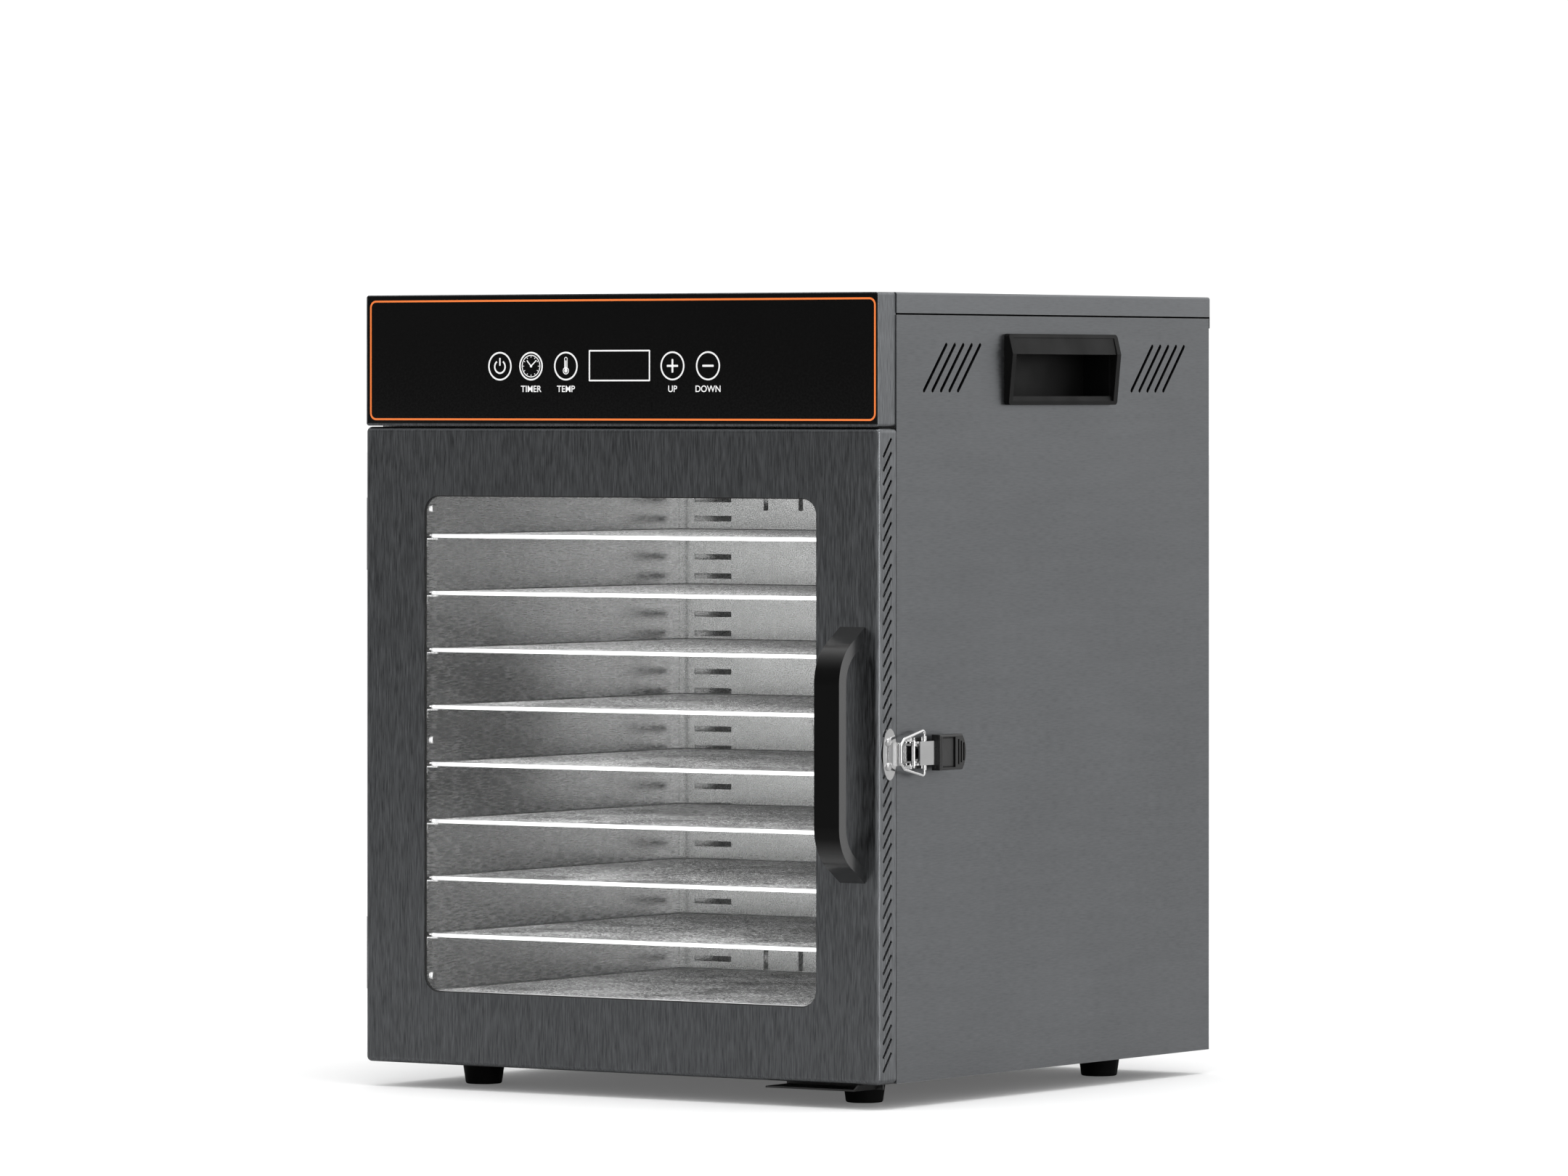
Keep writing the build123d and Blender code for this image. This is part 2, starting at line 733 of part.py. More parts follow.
def glass_seal():
    seal = glass_outline((sheet, sheet + seal_thickness))
    inner_x = window_half_width - 0.8
    inner = rounded_plate((-inner_x, inner_x), (-1, 5), (window_bottom + 0.8, window_top - 0.8), 11)
    return seal - inner


def door_glass():
    start = sheet + seal_thickness
    return glass_outline((start, start + glass_thickness))


def glass_clips():
    """Eight stepped clips, spot-welded inside the door, that hold the glass on its seal."""
    back = sheet + seal_thickness + glass_thickness
    edge_x = window_half_width + glass_overlap + 0.5
    middle_z = (window_bottom + window_top) / 2
    clips = []
    for side in (-1, 1):
        for offset in (-110, 0, 110):
            zs = (middle_z + offset - 9, middle_z + offset + 9)
            clip = block((side * (edge_x - 7), side * (edge_x + sheet)), (back, back + sheet), zs)
            clip += block((side * edge_x, side * (edge_x + sheet)), (sheet, back + sheet), zs)
            clip += block((side * edge_x, side * (edge_x + 7)), (sheet, 2 * sheet), zs)
            clips.append(clip)
    for edge, sign in ((window_bottom - glass_overlap - 0.5, -1), (window_top + glass_overlap + 0.5, 1)):
        clip = block((-9, 9), (back, back + sheet), (edge - sign * 7, edge + sign * sheet))
        clip += block((-9, 9), (sheet, back + sheet), (edge, edge + sign * sheet))
        clip += block((-9, 9), (sheet, 2 * sheet), (edge, edge + sign * 7))
        clips.append(clip)
    return clips


handle_screw_zs = (handle_bottom + 7.5, handle_top - 7.5)


def door_handle():
    """A bow handle: a straight bar that curves back to the door at each end."""
    bar_y = -handle_reach + handle_thickness / 2
    foot_middle = handle_thickness / 2 * math.hypot(1, handle_slope)
    inside = 8.0
    points = [
        (inside, handle_bottom + foot_middle - handle_slope * inside),
        (bar_y, handle_bottom + foot_middle - handle_slope * bar_y),
        (bar_y, handle_top - foot_middle + handle_slope * bar_y),
        (inside, handle_top - foot_middle + handle_slope * inside),
    ]
    centre_line = FilletPolyline(*points, radius=handle_bend_radius)
    side_plane = Plane(origin=(handle_x - handle_width / 2, 0, 0), x_dir=(0, 1, 0), z_dir=(1, 0, 0))
    bow = extrude(side_plane * trace(centre_line, handle_thickness), handle_width)
    bow = bow & block((100, 300), (-60, 0), (handle_bottom - 8, handle_top + 8))
    for z in handle_screw_zs:
        bow -= rod((handle_x, -6.5, z), (handle_x, 1, z), 2.0)
    return bow


strike_screw_y = 9.0
strike_screw_zs = (latch_z - strike_screw_offset, latch_z + strike_screw_offset)


def strike_plate():
    """An oval keeper with a curled tongue that the latch's bail lies over."""
    half = strike_width / 2
    face = Plane(origin=(half_width, strike_centre_y, latch_z), x_dir=(0, 1, 0), z_dir=(1, 0, 0))
    plate = extrude(face * Ellipse(half, strike_height / 2), strike_sheet)
    top = half_width + strike_sheet
    tongue_points = [
        (top - 0.6, 11.6),
        (top + 1.6, 12.6),
        (top + 3.1, 14.6),
        (top + 3.7, 17.2),
        (top + 3.7, 19.4),
        (top + 2.7, 19.4),
        (top + 2.7, 17.4),
        (top + 2.2, 15.2),
        (top + 1.0, 13.6),
        (top - 0.6, 12.8),
    ]
    level = Plane(origin=(0, 0, latch_z - 7.8), x_dir=(1, 0, 0), z_dir=(0, 0, 1))
    plate += extrude(level * make_face(Polyline(*tongue_points, close=True)), 15.6)
    for z in strike_screw_zs:
        plate -= rod((210, strike_screw_y, z), (220, strike_screw_y, z), 1.7)
    return plate


def door_screws():
    """The door's fasteners: handle screws from inside, strike screws and hinge screws."""
    pieces = []
    for z in handle_screw_zs:
        pieces.append(screw((handle_x, sheet, z), (0, 1, 0), 4.0, 2.2, 1.95, 7))
    for z in strike_screw_zs:
        pieces.append(screw((half_width + strike_sheet, strike_screw_y, z), (1, 0, 0), 2.9, 1.5, 1.6, 5))
    for z in hinge_screw_zs():
        pieces.append(hinge_screw(hinge_door_screw_y, z))
    return pieces


# ---- hinges ----------------------------------------------------------------------------
hinge_door_screw_y = 9.5
hinge_cabinet_screw_y = 33.5
hinge_screw_offsets = (-16.0, 16.0)


def hinge_screw_zs():
    return [z + offset for z in hinge_centres for offset in hinge_screw_offsets]


def hinge_screw(y, z):
    return screw((-half_width - hinge_leaf, y, z), (-1, 0, 0), 2.6, 1.2, 1.5, 4)


def hinge_leaf_shape(z_centre, plate_ys, knuckles, bore, screw_y):
    """One leaf of a butt hinge, lying on the left side, with its share of the knuckles."""
    bottom = z_centre - hinge_length / 2
    outer_x = -half_width - hinge_leaf
    leaf = block((outer_x, -half_width), plate_ys, (bottom, bottom + hinge_length))
    near_edge = min(plate_ys, key=lambda y: abs(y - hinge_axis_y))
    for low, high in knuckles:
        zs = (bottom + low, bottom + high)
        start = (hinge_axis_x, hinge_axis_y, zs[0])
        end = (hinge_axis_x, hinge_axis_y, zs[1])
        leaf += block((outer_x, -half_width - 0.3), (near_edge, hinge_axis_y), zs)
        leaf += rod(start, end, hinge_knuckle_radius)
        leaf -= rod(start, end, bore)
    for offset in hinge_screw_offsets:
        z = z_centre + offset
        leaf -= rod((-half_width - 3, screw_y, z), (-half_width + 1, screw_y, z), 1.6)
    return leaf


def door_hinge_leaf(z_centre):
    plate_ys = (4.0, hinge_axis_y - hinge_knuckle_radius - 0.4)
    knuckles = [(hinge_knuckle + 0.3, hinge_length - hinge_knuckle - 0.3)]
    bore = hinge_pin_radius + hinge_clearance
    return hinge_leaf_shape(z_centre, plate_ys, knuckles, bore, hinge_door_screw_y)


def cabinet_hinge_leaf(z_centre):
    plate_ys = (hinge_axis_y + hinge_knuckle_radius + 0.4, 39.0)
    knuckles = [(0, hinge_knuckle), (hinge_length - hinge_knuckle, hinge_length)]
    return hinge_leaf_shape(z_centre, plate_ys, knuckles, hinge_pin_radius, hinge_cabinet_screw_y)


def hinge_pins():
    pins = []
    for z in hinge_centres:
        start = (hinge_axis_x, hinge_axis_y, z - hinge_length / 2 - 1.0)
        end = (hinge_axis_x, hinge_axis_y, z + hinge_length / 2 + 1.0)
        pins.append(rod(start, end, hinge_pin_radius))
    return pins


# ---- draw latch ------------------------------------------------------------------------
lever_ear_zs = (6.8, 8.0)
base_ear_zs = (5.2, 6.4)
latch_rivet_y = 45.5


def latch_base():
    side = half_width
    plate = block((side, side + 1.2), (27.7, 50.0), (latch_z - 10.5, latch_z + 10.5))
    plate = fillet(plate.edges().filter_by(Axis.X), 2.0)
    x, y = latch_pivot
    for sign in (-1, 1):
        zs = (latch_z + sign * base_ear_zs[0], latch_z + sign * base_ear_zs[1])
        plate += block((side, x), (y - 2.9, y + 2.9), zs)
        plate += rod((x, y, min(zs)), (x, y, max(zs)), 2.9)
    plate -= rod((x, y, latch_z - 20), (x, y, latch_z + 20), 1.25)
    for sign in (-1, 1):
        z = latch_z + sign * 5.0
        plate += rod((side + 1.2, latch_rivet_y, z), (side + 2.2, latch_rivet_y, z), 1.8)
    return plate


def latch_pin():
    x, y = latch_pivot
    return rod((x, y, latch_z - 9.0), (x, y, latch_z + 9.0), 1.25)


def lever_plate():
    x, y = latch_pivot
    return block(
        (x + lever_inner, x + lever_inner + lever_sheet),
        (y + 1.0, 68.0),
        (latch_z - lever_half_height, latch_z + lever_half_height),
    )


def latch_lever():
    """A channel-shaped lever: a top plate and two ears with the pivot and bail holes."""
    x, y = latch_pivot
    bail_x, bail_y = bail_pivot
    lever = lever_plate()
    for sign in (-1, 1):
        zs = (latch_z + sign * lever_ear_zs[0], latch_z + sign * lever_ear_zs[1])
        lever += rod((x, y, min(zs)), (x, y, max(zs)), 2.9)
        lever += block((x - 1.0, x + lever_inner + 0.2), (y + 1.0, bail_y + 2.4), zs)
        lever += rod((bail_x, bail_y, min(zs)), (bail_x, bail_y, max(zs)), 2.4)
    lever -= rod((x, y, latch_z - 20), (x, y, latch_z + 20), 1.25 + 0.06)
    return lever - rod((bail_x, bail_y, latch_z - 20), (bail_x, bail_y, latch_z + 20), bail_wire + 0.06)


def latch_grip():
    """A moulded thumb grip pushed over the lever's plate, ribbed at its rounded end."""
    outer_x = half_width + grip_reach
    zs = (latch_z - grip_half_height, latch_z + grip_half_height)
    grip = block((half_width + 5.2, outer_x), (grip_front_y, grip_back_y), zs)
    end_middle = Pos(half_width + 8, grip_back_y - grip_end_radius, latch_z)
    end_round = end_middle * Rot(0, 90, 0) * Cylinder(grip_end_radius, 30)
    tail = block((half_width, outer_x + 5), (grip_back_y - 12, grip_back_y + 1), (zs[0] - 1, zs[1] + 1))
    grip -= tail - end_round
    grip = fillet(grip.edges().group_by(Axis.X)[-1], 1.2)
    grip -= block((outer_x - 1.6, outer_x + 1), (59.6, 75.4), (latch_z - 10.2, latch_z + 10.2))
    for i in range(3):
        y = 78.6 + i * 3.2
        reach = 8.5 - 1.2 * i
        grip -= block((outer_x - 0.9, outer_x + 1), (y, y + 1.6), (latch_z - reach, latch_z + reach))
    return grip - lever_plate()


def latch_bail():
    """A bent wire loop: two short pivots in the lever's ears and a bar over the keeper."""
    bx, by = bail_pivot
    fx, fy = bail_bar
    slope = (fx - bx) / (fy - by)

    def at(y, z):
        return (bx + slope * (y - by), y, latch_z + z)

    points = [
        at(by, -6.0),
        at(by, -15.4),
        at(20.5, -10.2),
        at(fy, -6.5),
        at(fy, 6.5),
        at(20.5, 10.2),
        at(by, 15.4),
        at(by, 6.0),
    ]
    path = FilletPolyline(*points, radius=2.2)
    return sweep(Plane(origin=path @ 0, z_dir=path % 0) * Circle(bail_wire), path=path)


def latch_springs():
    bx, by = bail_pivot
    coils = []
    for sign in (-1, 1):
        zs = sorted((latch_z + sign * 8.3, latch_z + sign * 11.4))
        tube = rod((bx, by, zs[0]), (bx, by, zs[1]), 2.0)
        coils.append(tube - rod((bx, by, zs[0] - 1), (bx, by, zs[1] + 1), bail_wire + 0.05))
    return coils


# ---- write every node ------------------------------------------------------------------
save("side_panel_left", side_panel(-1))
save("side_panel_right", side_panel(1))
save("base_pan", base_pan())
save("front_frame", front_frame())
save("rear_panel", rear_panel())
save("top_cover", top_cover())
save("fascia_frame", fascia_frame())
save("control_glass", control_glass())
save("display_module", display_module())
save("touch_board", touch_board())
save("power_board", power_board())
save("liner_left", liner_side(-1))
save("liner_right", liner_side(1))
save("liner_floor", liner_floor())
save("liner_top", liner_top())
save("liner_rear", liner_rear())
save("rear_baffle", rear_baffle())
save("tray_rack_left", *tray_rack(-1))
save("tray_rack_right", *tray_rack(1))
save("rack_screws", *rack_screws())
save("fan_rotor", fan_rotor())
save("fan_motor", fan_motor())
save("fan_guard", fan_guard())
save("heater_element", heater_element())
save("heater_brackets", *heater_brackets())
save("thermal_cutout", thermal_cutout())
save("temperature_probe", temperature_probe())
save("power_inlet", power_inlet())
save("wire_harness", *wire_harness())
save("carry_handle_left", carry_handle(-1))
save("carry_handle_right", carry_handle(1))
save("feet", *[foot(x, y) for x, y in foot_places])
save("cabinet_screws", *cabinet_screws())
save("door_rest_plate", door_rest_plate())
save("door_skin", door_skin())
save("glass_seal", glass_seal())
save("door_glass", door_glass())
save("glass_clips", *glass_clips())
save("door_handle", door_handle())
save("strike_plate", strike_plate())
save("door_screws", *door_screws())
save("hinge_leaves_door", *[door_hinge_leaf(z) for z in hinge_centres])
save("hinge_leaves_cabinet", *[cabinet_hinge_leaf(z) for z in hinge_centres])
save("hinge_pins", *hinge_pins())
save("latch_base", latch_base())
save("latch_pin", latch_pin())
save("latch_lever", latch_lever())
save("latch_grip", latch_grip())
save("latch_bail", latch_bail())
save("latch_springs", *latch_springs())

one_tray = tray()
for number, z in enumerate(tray_zs, start=1):
    save(f"tray_{number:02d}", Pos(0, 0, z) * one_tray)
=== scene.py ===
"""Food dehydrator: steel, glass and plastic finishes, wire mesh trays, printed controls,
studio floor, lights and camera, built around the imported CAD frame."""

import json
import math
import bpy
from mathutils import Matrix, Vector


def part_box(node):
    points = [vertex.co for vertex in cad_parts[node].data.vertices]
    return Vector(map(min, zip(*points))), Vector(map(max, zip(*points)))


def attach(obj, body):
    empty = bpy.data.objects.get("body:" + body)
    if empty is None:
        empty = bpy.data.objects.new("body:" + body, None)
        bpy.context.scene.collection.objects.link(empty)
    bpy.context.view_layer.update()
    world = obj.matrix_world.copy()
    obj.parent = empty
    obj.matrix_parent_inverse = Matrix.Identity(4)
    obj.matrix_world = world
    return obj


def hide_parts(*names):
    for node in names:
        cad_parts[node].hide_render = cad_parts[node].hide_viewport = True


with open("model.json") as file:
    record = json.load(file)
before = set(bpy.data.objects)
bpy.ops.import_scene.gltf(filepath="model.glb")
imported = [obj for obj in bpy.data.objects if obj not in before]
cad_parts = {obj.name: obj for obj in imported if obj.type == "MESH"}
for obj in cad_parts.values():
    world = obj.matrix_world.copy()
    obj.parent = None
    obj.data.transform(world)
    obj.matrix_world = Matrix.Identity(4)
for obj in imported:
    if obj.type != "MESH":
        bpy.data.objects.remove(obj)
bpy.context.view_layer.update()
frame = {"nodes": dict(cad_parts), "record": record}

MM = 0.001
COOL = (0.965, 1.0, 1.04)
NEUTRAL = (1, 1, 1)
BUMP_DEPTH = 0.1 * MM
BRIGHT_SIDE = (0.555, 0.832, 0.0)


# ---- camera ------------------------------------------------------------------------------
def place_camera():
    data = bpy.data.cameras.new("studio_camera")
    data.lens = 216.7
    data.sensor_width = 36.0
    data.shift_y = -0.122
    data.clip_start = 0.05
    data.clip_end = 200.0
    camera = bpy.data.objects.new("studio_camera", data)
    camera.location = (3.6517, -5.4736, 0.4769)
    camera.rotation_euler = (math.radians(90), 0, math.radians(33.7))
    bpy.context.scene.collection.objects.link(camera)
    bpy.context.scene.camera = camera


# ---- shader helpers ----------------------------------------------------------------------
def link_into(tree, socket, value):
    """A socket takes either another node's output or a plain number or colour."""
    if isinstance(value, bpy.types.NodeSocket):
        tree.links.new(value, socket)
    else:
        socket.default_value = value


def add_node(tree, kind, inputs=None, **settings):
    node = tree.nodes.new(kind)
    for name, value in settings.items():
        setattr(node, name, value)
    for key, value in (inputs or {}).items():
        link_into(tree, node.inputs[key], value)
    return node


def math_node(tree, operation, a, b=0.0, clamp=False):
    node = add_node(tree, "ShaderNodeMath", operation=operation, use_clamp=clamp)
    link_into(tree, node.inputs[0], a)
    link_into(tree, node.inputs[1], b)
    return node.outputs[0]


def mix_colour(tree, factor, a, b):
    node = add_node(tree, "ShaderNodeMix", data_type="RGBA")
    link_into(tree, node.inputs[0], factor)
    link_into(tree, node.inputs[6], a)
    link_into(tree, node.inputs[7], b)
    return node.outputs[2]


def map_range(tree, value, low, high, to_low, to_high):
    node = add_node(tree, "ShaderNodeMapRange", clamp=True)
    for i, v in enumerate((value, low, high, to_low, to_high)):
        link_into(tree, node.inputs[i], v)
    return node.outputs[0]


def grey(value):
    return (value, value, value, 1)


def scaled(colour, factor, lift=0.0):
    """A colour made darker or brighter, with its alpha left whole."""
    return tuple(min(1.0, c * factor + lift) for c in colour[:3]) + (1,)


def new_group(name, inputs, outputs):
    """A node group with named sockets: inputs are (name, kind, default), outputs (name, kind)."""
    group = bpy.data.node_groups.new(name, "ShaderNodeTree")
    for socket_name, kind, default in inputs:
        socket = group.interface.new_socket(socket_name, in_out="INPUT", socket_type=kind)
        socket.default_value = default
    for socket_name, kind in outputs:
        group.interface.new_socket(socket_name, in_out="OUTPUT", socket_type=kind)
    given = group.nodes.new("NodeGroupInput").outputs
    out = group.nodes.new("NodeGroupOutput").inputs
    return group, given, out


def noise(tree, vector, scale, detail=2.0, roughness=0.5):
    node = add_node(tree, "ShaderNodeTexNoise", {"Vector": vector, "Scale": scale,
                                                 "Detail": detail, "Roughness": roughness})
    return node.outputs["Fac"]


def make_grain_group():
    """Brushed sheet: fine streaks drawn out along one axis, and wider soft bands."""
    group, given, out = new_group(
        "brushed_grain",
        [("Position", "NodeSocketVector", (0, 0, 0)),
         ("Stretch", "NodeSocketVector", (1500, 1500, 30)),
         ("Contrast", "NodeSocketFloat", 1.0)],
        [("Streaks", "NodeSocketFloat"), ("Bands", "NodeSocketFloat")])
    stretched = add_node(group, "ShaderNodeVectorMath",
                         {0: given["Position"], 1: given["Stretch"]},
                         operation="MULTIPLY").outputs[0]
    fine = noise(group, stretched, 1.0, 2.0, 0.6)
    centred = math_node(group, "SUBTRACT", fine, 0.5)
    strong = math_node(group, "MULTIPLY", centred, given["Contrast"])
    group.links.new(math_node(group, "ADD", strong, 0.5, clamp=True), out["Streaks"])
    group.links.new(noise(group, stretched, 0.12, 1.0, 0.5), out["Bands"])
    return group


def make_patch_group():
    """Broad soft cloudiness, as handling and rolling leave on a surface."""
    group, given, out = new_group(
        "soft_patches",
        [("Position", "NodeSocketVector", (0, 0, 0)), ("Size", "NodeSocketFloat", 0.1)],
        [("Patches", "NodeSocketFloat"), ("Specks", "NodeSocketFloat")])
    frequency = math_node(group, "DIVIDE", 1.0, given["Size"])
    group.links.new(noise(group, given["Position"], frequency, 3.0, 0.55), out["Patches"])
    fine = math_node(group, "MULTIPLY", frequency, 30.0)
    group.links.new(noise(group, given["Position"], fine, 2.0, 0.6), out["Specks"])
    return group


def make_edge_group():
    """Edges and corners, where a finish is rubbed bright."""
    group, given, out = new_group(
        "edge_wear",
        [("Width", "NodeSocketFloat", 0.0008), ("Amount", "NodeSocketFloat", 1.0),
         ("Position", "NodeSocketVector", (0, 0, 0))],
        [("Wear", "NodeSocketFloat")])
    bevel = add_node(group, "ShaderNodeBevel", {"Radius": given["Width"]}, samples=4)
    flat = add_node(group, "ShaderNodeNewGeometry")
    agreement = add_node(group, "ShaderNodeVectorMath",
                         {0: bevel.outputs[0], 1: flat.outputs["Normal"]},
                         operation="DOT_PRODUCT").outputs["Value"]
    edge = map_range(group, agreement, 0.72, 0.995, 1.0, 0.0)
    scuffs = noise(group, given["Position"], 160.0, 3.0, 0.6)
    broken = map_range(group, scuffs, 0.35, 0.65, 0.25, 1.0)
    worn = math_node(group, "MULTIPLY", edge, broken)
    group.links.new(math_node(group, "MULTIPLY", worn, given["Amount"], clamp=True), out["Wear"])
    return group


def make_mould_group():
    """Fine moulded texture on plastic and rubber."""
    group, given, out = new_group(
        "moulded_texture",
        [("Position", "NodeSocketVector", (0, 0, 0)), ("Pitch", "NodeSocketFloat", 0.0006)],
        [("Height", "NodeSocketFloat"), ("Blotches", "NodeSocketFloat")])
    frequency = math_node(group, "DIVIDE", 1.0, given["Pitch"])
    group.links.new(noise(group, given["Position"], frequency, 2.0, 0.7), out["Height"])
    wide = math_node(group, "MULTIPLY", frequency, 0.02)
    group.links.new(noise(group, given["Position"], wide, 2.0, 0.5), out["Blotches"])
    return group


GRAIN = make_grain_group()
PATCHES = make_patch_group()
EDGES = make_edge_group()
MOULD = make_mould_group()


def group_node(tree, group, **inputs):
    node = add_node(tree, "ShaderNodeGroup", node_tree=group)
    for name, value in inputs.items():
        link_into(tree, node.inputs[name], value)
    return node.outputs


def new_material(name, **sockets):
    """A material with one Principled shader, its plain values set on the shader's own sockets."""
    material = bpy.data.materials.new(name)
    material.use_nodes = True
    tree = material.node_tree
    tree.nodes.clear()
    output = tree.nodes.new("ShaderNodeOutputMaterial")
    shader = tree.nodes.new("ShaderNodeBsdfPrincipled")
    tree.links.new(shader.outputs[0], output.inputs[0])
    for socket, value in sockets.items():
        shader.inputs[socket.replace("_", " ")].default_value = value
    position = tree.nodes.new("ShaderNodeTexCoord").outputs["Object"]
    return material, tree, shader, position


def bump_into(tree, shader, height, strength):
    node = add_node(tree, "ShaderNodeBump", {"Height": height, "Strength": strength,
                                             "Distance": BUMP_DEPTH})
    tree.links.new(node.outputs[0], shader.inputs["Normal"])


def roughen(tree, shader, value, rough, low=0.3, high=0.7):
    """Roughness that follows a pattern between two values."""
    tree.links.new(map_range(tree, value, low, high, *rough), shader.inputs["Roughness"])


def brushed_steel(name, dark, light, stretch, rough=(0.30, 0.42), contrast=1.4, patch=0.12,
                  wear=0.35, worn_colour=0.5, bump=0.08, tint=COOL):
    """Brushed sheet steel. dark and light are the two ends of its grain."""
    material, tree, shader, position = new_material(name, Metallic=1.0)
    grain = group_node(tree, GRAIN, Position=position, Stretch=stretch, Contrast=contrast)
    patches = group_node(tree, PATCHES, Position=position, Size=patch)
    edge = group_node(tree, EDGES, Width=0.7 * MM, Amount=wear, Position=position)
    low = tuple(dark * t for t in tint) + (1,)
    high = tuple(light * t for t in tint) + (1,)
    streaks = mix_colour(tree, grain["Streaks"], low, high)
    bands = map_range(tree, grain["Bands"], 0.3, 0.7, 0.975, 1.025)
    soft = map_range(tree, patches["Patches"], 0.3, 0.7, 0.96, 1.04)
    shade = math_node(tree, "MULTIPLY", bands, soft)
    shaded = add_node(tree, "ShaderNodeVectorMath", {0: streaks}, operation="SCALE")
    link_into(tree, shaded.inputs["Scale"], shade)
    worn = mix_colour(tree, edge["Wear"], shaded.outputs[0], grey(worn_colour))
    tree.links.new(worn, shader.inputs["Base Color"])
    spread = math_node(tree, "ADD", math_node(tree, "MULTIPLY", grain["Streaks"], 0.6),
                       math_node(tree, "MULTIPLY", patches["Patches"], 0.4))
    roughen(tree, shader, spread, rough)
    bump_into(tree, shader, grain["Streaks"], bump)
    return material


def plain_metal(name, colour, rough, patch=0.02, wear=0.3, bump=0.03, metallic=1.0, coat=0.0):
    """Bare, plated or painted metal without a grain."""
    material, tree, shader, position = new_material(name, Metallic=metallic, Coat_Weight=coat,
                                                    Coat_Roughness=0.15)
    patches = group_node(tree, PATCHES, Position=position, Size=patch)
    edge = group_node(tree, EDGES, Width=0.4 * MM, Amount=wear, Position=position)
    base = mix_colour(tree, patches["Patches"], scaled(colour, 0.86), colour)
    worn = mix_colour(tree, edge["Wear"], base, scaled(colour, 1.5, 0.04))
    tree.links.new(worn, shader.inputs["Base Color"])
    mixed = math_node(tree, "ADD", math_node(tree, "MULTIPLY", patches["Patches"], 0.7),
                      math_node(tree, "MULTIPLY", patches["Specks"], 0.3))
    roughen(tree, shader, mixed, rough)
    bump_into(tree, shader, patches["Specks"], bump)
    return material


def moulded_plastic(name, colour, rough, bump=0.12, wear=0.2, specular=0.5):
    """Moulded plastic or rubber with a fine grained skin."""
    material, tree, shader, position = new_material(name, Metallic=0.0,
                                                    Specular_IOR_Level=specular)
    mould = group_node(tree, MOULD, Position=position, Pitch=0.6 * MM)
    edge = group_node(tree, EDGES, Width=0.5 * MM, Amount=wear, Position=position)
    base = mix_colour(tree, mould["Blotches"], scaled(colour, 0.8), colour)
    worn = mix_colour(tree, edge["Wear"], base, scaled(colour, 1.6, 0.01))
    tree.links.new(worn, shader.inputs["Base Color"])
    roughen(tree, shader, mould["Blotches"], rough)
    bump_into(tree, shader, mould["Height"], bump)
    return material


# ---- finishes ----------------------------------------------------------------------------
UPRIGHT_GRAIN = (1300, 1300, 75)
LEVEL_GRAIN = (1100, 110, 1100)


def chamber_finish():
    """Bright mill-finish stainless with a fine level grain and soft mottling."""
    return brushed_steel("chamber_steel", 0.42, 0.86, LEVEL_GRAIN, rough=(0.20, 0.32),
                         contrast=3.0, patch=0.03, wear=0.2, worn_colour=0.8, bump=0.05,
                         tint=NEUTRAL)


def mesh_finish():
    """Polished tray wire whose base colour is speckled dark and bright as a painted glint, in
    place of the sparkle of strands tilted to the light.
    """
    material, tree, shader, position = new_material("tray_steel", Metallic=1.0)
    patches = group_node(tree, PATCHES, Position=position, Size=0.06)
    painted_glint = group_node(tree, GRAIN, Position=position, Stretch=(520, 260, 330), Contrast=3.0)
    # Painted glint: the base colour runs between dark and bright grey in fine speckles, standing
    # in for light caught by tilted strands.
    base = mix_colour(tree, painted_glint["Streaks"], grey(0.20), grey(0.70))
    tree.links.new(base, shader.inputs["Base Color"])
    roughen(tree, shader, patches["Patches"], (0.16, 0.30))
    bump_into(tree, shader, patches["Specks"], 0.05)
    return material


def panel_glass_finish():
    """Black-backed touch glass: deep gloss with the faintest dust."""
    material, tree, shader, position = new_material("panel_glass", Metallic=0.0, IOR=1.5,
                                                    Coat_Weight=0.0)
    patches = group_node(tree, PATCHES, Position=position, Size=0.05)
    base = mix_colour(tree, patches["Patches"], grey(0.0012), grey(0.0026))
    tree.links.new(base, shader.inputs["Base Color"])
    roughen(tree, shader, patches["Specks"], (0.03, 0.09))
    return material


def door_glass_finish():
    """Clear float glass."""
    material, tree, shader, position = new_material("door_glass", Metallic=0.0, IOR=1.45,
                                                    Transmission_Weight=1.0)
    patches = group_node(tree, PATCHES, Position=position, Size=0.08)
    base = mix_colour(tree, patches["Patches"], (0.985, 0.995, 0.99, 1), (1, 1, 1, 1))
    tree.links.new(base, shader.inputs["Base Color"])
    roughen(tree, shader, patches["Specks"], (0.0, 0.02), 0.4, 0.8)
    return material


def glowing_print_finish(name, colour):
    """Screen-printed ink on the glass, with a painted glow: the ink also emits a little light of
    its own colour.
    """
    material, tree, shader, position = new_material(name, Metallic=0.0)
    patches = group_node(tree, PATCHES, Position=position, Size=0.004)
    ink = mix_colour(tree, patches["Specks"], scaled(colour, 0.9), colour)
    tree.links.new(ink, shader.inputs["Base Color"])
    roughen(tree, shader, patches["Patches"], (0.35, 0.5))
    # Painted glow: the print emits light in its ink colour, though it is no lamp.
    shader.inputs["Emission Strength"].default_value = 0.35
    tree.links.new(ink, shader.inputs["Emission Color"])
    return material


